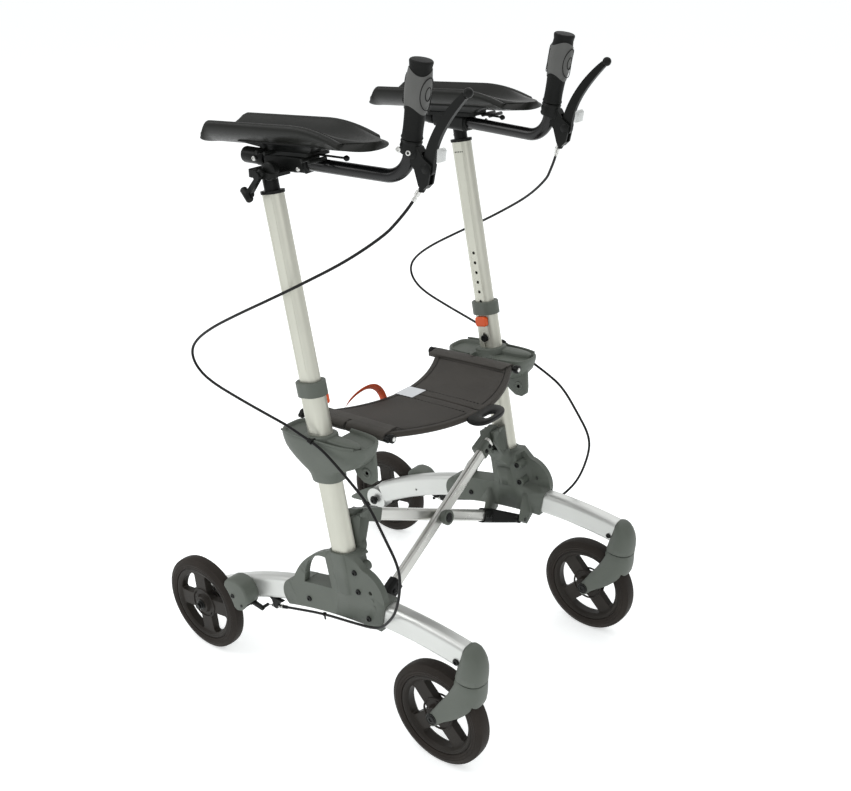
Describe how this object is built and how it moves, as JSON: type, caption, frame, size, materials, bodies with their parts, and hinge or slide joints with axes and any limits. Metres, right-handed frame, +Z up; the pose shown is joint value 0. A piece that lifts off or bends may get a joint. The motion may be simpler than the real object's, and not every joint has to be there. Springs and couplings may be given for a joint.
{
  "type": "forearm support walker",
  "caption": "Folding wheeled walking frame with padded forearm troughs, upright hand grips, levers and cables, sling seat, arched legs and casters.",
  "frame": {"origin": "on the floor in the middle of the frame, under the bounding box centre", "axes": "+X is the walking direction, +Y the user's left, +Z up"},
  "size_m": [0.777, 0.629, 1.2047],
  "materials": {
    "silver_tube": "fine satin anodised",
    "grey_casting": "moulded grey-green, light texture",
    "black_plastic": "moulded black",
    "black_tube": "gloss black powder coat",
    "tyre": "soft grey-black rubber",
    "rim": "moulded dark brown-black",
    "pad": "soft black vinyl",
    "grip": "ribbed soft rubber",
    "fabric": "woven charcoal nylon",
    "orange": "moulded orange",
    "cable": "black outer casing",
    "steel": "zinc plated"
  },
  "bodies": {
    "right_frame": {"right_leg": "silver_tube", "right_lower_tube": "silver_tube", "right_lower_casting": "grey_casting", "right_collar": "grey_casting", "right_seat_bracket": "grey_casting", "right_head_cap": "grey_casting", "right_rear_housing": "grey_casting", "right_frame_fasteners": "steel", "right_brake_cable": "cable"},
    "right_upper": {"right_upper_tube": "silver_tube", "right_support_post": "black_plastic"},
    "right_height_button": {"right_height_button": "orange"},
    "right_support": {"right_support_clamp": "black_plastic", "right_forearm_pad": "pad"},
    "right_clamp_lever": {"right_clamp_lever": "black_plastic"},
    "right_handle": {"right_handle_tube": "black_tube", "right_grip": "grip", "right_lever_bracket": "black_plastic"},
    "right_brake_lever": {"right_brake_lever": "black_plastic"},
    "right_caster": {"right_caster_fork": "grey_casting"},
    "right_front_wheel": {"right_front_rim": "rim", "right_front_tyre": "tyre"},
    "right_rear_wheel": {"right_rear_rim": "rim", "right_rear_tyre": "tyre"},
    "right_brake_shoe": {"right_brake_shoe": "black_plastic"},
    "right_seat": {"right_seat_sling": "fabric"},
    "left_frame": {"left_leg": "silver_tube", "left_lower_tube": "silver_tube", "left_lower_casting": "grey_casting", "left_collar": "grey_casting", "left_seat_bracket": "grey_casting", "left_head_cap": "grey_casting", "left_rear_housing": "grey_casting", "left_frame_fasteners": "steel", "left_brake_cable": "cable"},
    "left_upper": {"left_upper_tube": "silver_tube", "left_support_post": "black_plastic"},
    "left_height_button": {"left_height_button": "orange"},
    "left_support": {"left_support_clamp": "black_plastic", "left_forearm_pad": "pad"},
    "left_clamp_lever": {"left_clamp_lever": "black_plastic"},
    "left_handle": {"left_handle_tube": "black_tube", "left_grip": "grip", "left_lever_bracket": "black_plastic"},
    "left_brake_lever": {"left_brake_lever": "black_plastic"},
    "left_caster": {"left_caster_fork": "grey_casting"},
    "left_front_wheel": {"left_front_rim": "rim", "left_front_tyre": "tyre"},
    "left_rear_wheel": {"left_rear_rim": "rim", "left_rear_tyre": "tyre"},
    "left_brake_shoe": {"left_brake_shoe": "black_plastic"},
    "left_seat": {"left_seat_sling": "fabric"},
    "seat_middle": {"seat_middle": "fabric"},
    "brace_front": {"brace_front_tube": "silver_tube", "brace_front_yoke": "black_plastic", "brace_front_fitting": "grey_casting"},
    "brace_rear": {"brace_rear_tube": "silver_tube", "brace_rear_yoke": "black_plastic", "brace_rear_fitting": "grey_casting", "brace_pivot": "grey_casting"}
  },
  "joints": [
    {"name": "fold", "type": "hinge", "parent": "right_frame", "child": "brace_front", "pos_m": [0.09818, -0.216, 0.20799], "axis": [0.9796, 0, 0.2011], "range_deg": [0, 44], "deforming": ["right_seat_sling", "left_seat_sling", "seat_middle"]},
    {"name": "fold_cross", "type": "hinge", "parent": "brace_front", "child": "brace_rear", "pos_m": [0.07828, 0, 0.30497], "axis": [0.9796, 0, 0.2011], "range_deg": [-88.5, 0.5]},
    {"name": "fold_left", "type": "hinge", "parent": "brace_rear", "child": "left_frame", "pos_m": [0.09818, 0.216, 0.20799], "axis": [0.9796, 0, 0.2011], "range_deg": [-0.5, 44.5]},
    {"name": "seat_right_lift", "type": "hinge", "parent": "right_frame", "child": "right_seat", "pos_m": [0, -0.19, 0.557], "axis": [0.9978, 0, 0.0663], "range_deg": [-0.5, 77.7]},
    {"name": "seat_middle_lift", "type": "hinge", "parent": "right_seat", "child": "seat_middle", "pos_m": [0, -0.022, 0.561], "axis": [0.9978, 0, 0.0663], "range_deg": [-77.7, 0.5]},
    {"name": "seat_left_lift", "type": "hinge", "parent": "seat_middle", "child": "left_seat", "pos_m": [0, 0.022, 0.561], "axis": [0.9978, 0, 0.0663], "range_deg": [-77.7, 0.5]},
    {"name": "right_height", "type": "slide", "parent": "right_frame", "child": "right_upper", "axis": [-0.2011, 0, 0.9796], "range_m": [-0.14, 0.08], "deforming": ["right_brake_cable"]},
    {"name": "right_height_button", "type": "slide", "parent": "right_frame", "child": "right_height_button", "axis": [0, -1, 0], "range_m": [0, 0.002], "stiffness_N_per_m": 400},
    {"name": "right_support_swivel", "type": "hinge", "parent": "right_upper", "child": "right_support", "pos_m": [-0.06587, -0.254, 1.00222], "axis": [-0.2011, 0, 0.9796], "range_deg": [-20, 20]},
    {"name": "right_handle_slide", "type": "slide", "parent": "right_support", "child": "right_handle", "axis": [0.9934, 0.1146, 0], "range_m": [-0.004, 0.04]},
    {"name": "right_clamp_lever_turn", "type": "hinge", "parent": "right_support", "child": "right_clamp_lever", "pos_m": [-0.064, -0.2775, 1.009], "axis": [0, 1, 0], "range_deg": [0, 80]},
    {"name": "right_brake_squeeze", "type": "hinge", "parent": "right_handle", "child": "right_brake_lever", "pos_m": [0.212, -0.193, 1.046], "axis": [0, -1, 0], "range_deg": [0, 15], "stiffness_Nm_per_rad": 2},
    {"name": "right_brake_press", "type": "hinge", "parent": "right_frame", "child": "right_brake_shoe", "pos_m": [-0.166, -0.289, 0.15], "axis": [0, -1, 0], "range_deg": [-0.5, 6.5]},
    {"name": "right_caster_swivel", "type": "hinge", "parent": "right_frame", "child": "right_caster", "pos_m": [0.355, -0.254, 0.206], "axis": [0, 0, 1], "continuous": true},
    {"name": "right_front_wheel_spin", "type": "hinge", "parent": "right_caster", "child": "right_front_wheel", "pos_m": [0.2885, -0.254, 0.1], "axis": [0, 1, 0], "continuous": true},
    {"name": "right_rear_wheel_spin", "type": "hinge", "parent": "right_frame", "child": "right_rear_wheel", "pos_m": [-0.2885, -0.289, 0.1], "axis": [0, 1, 0], "continuous": true},
    {"name": "left_height", "type": "slide", "parent": "left_frame", "child": "left_upper", "axis": [-0.2011, 0, 0.9796], "range_m": [-0.14, 0.08], "deforming": ["left_brake_cable"]},
    {"name": "left_height_button", "type": "slide", "parent": "left_frame", "child": "left_height_button", "axis": [0, 1, 0], "range_m": [0, 0.002], "stiffness_N_per_m": 400},
    {"name": "left_support_swivel", "type": "hinge", "parent": "left_upper", "child": "left_support", "pos_m": [-0.06587, 0.254, 1.00222], "axis": [-0.2011, 0, 0.9796], "range_deg": [-20, 20]},
    {"name": "left_handle_slide", "type": "slide", "parent": "left_support", "child": "left_handle", "axis": [0.9934, -0.1146, 0], "range_m": [-0.004, 0.04]},
    {"name": "left_clamp_lever_turn", "type": "hinge", "parent": "left_support", "child": "left_clamp_lever", "pos_m": [-0.064, 0.2775, 1.009], "axis": [0, 1, 0], "range_deg": [0, 80]},
    {"name": "left_brake_squeeze", "type": "hinge", "parent": "left_handle", "child": "left_brake_lever", "pos_m": [0.212, 0.193, 1.046], "axis": [0, -1, 0], "range_deg": [0, 15], "stiffness_Nm_per_rad": 2},
    {"name": "left_brake_press", "type": "hinge", "parent": "left_frame", "child": "left_brake_shoe", "pos_m": [-0.166, 0.289, 0.15], "axis": [0, -1, 0], "range_deg": [-0.5, 6.5]},
    {"name": "left_caster_swivel", "type": "hinge", "parent": "left_frame", "child": "left_caster", "pos_m": [0.355, 0.254, 0.206], "axis": [0, 0, 1], "continuous": true},
    {"name": "left_front_wheel_spin", "type": "hinge", "parent": "left_caster", "child": "left_front_wheel", "pos_m": [0.2885, 0.254, 0.1], "axis": [0, 1, 0], "continuous": true},
    {"name": "left_rear_wheel_spin", "type": "hinge", "parent": "left_frame", "child": "left_rear_wheel", "pos_m": [-0.2885, 0.289, 0.1], "axis": [0, 1, 0], "continuous": true}
  ],
  "couplings": [
    {"joint": "fold_cross", "follows": "fold", "ratio": -2},
    {"joint": "fold_left", "follows": "fold", "ratio": 1},
    {"joint": "seat_right_lift", "follows": "fold", "ratio": 1.7435},
    {"joint": "seat_middle_lift", "follows": "fold", "ratio": -1.7435},
    {"joint": "seat_left_lift", "follows": "fold", "ratio": -1.7435},
    {"joint": "right_brake_press", "follows": "right_brake_squeeze", "ratio": 0.4},
    {"joint": "left_brake_press", "follows": "left_brake_squeeze", "ratio": 0.4}
  ]
}
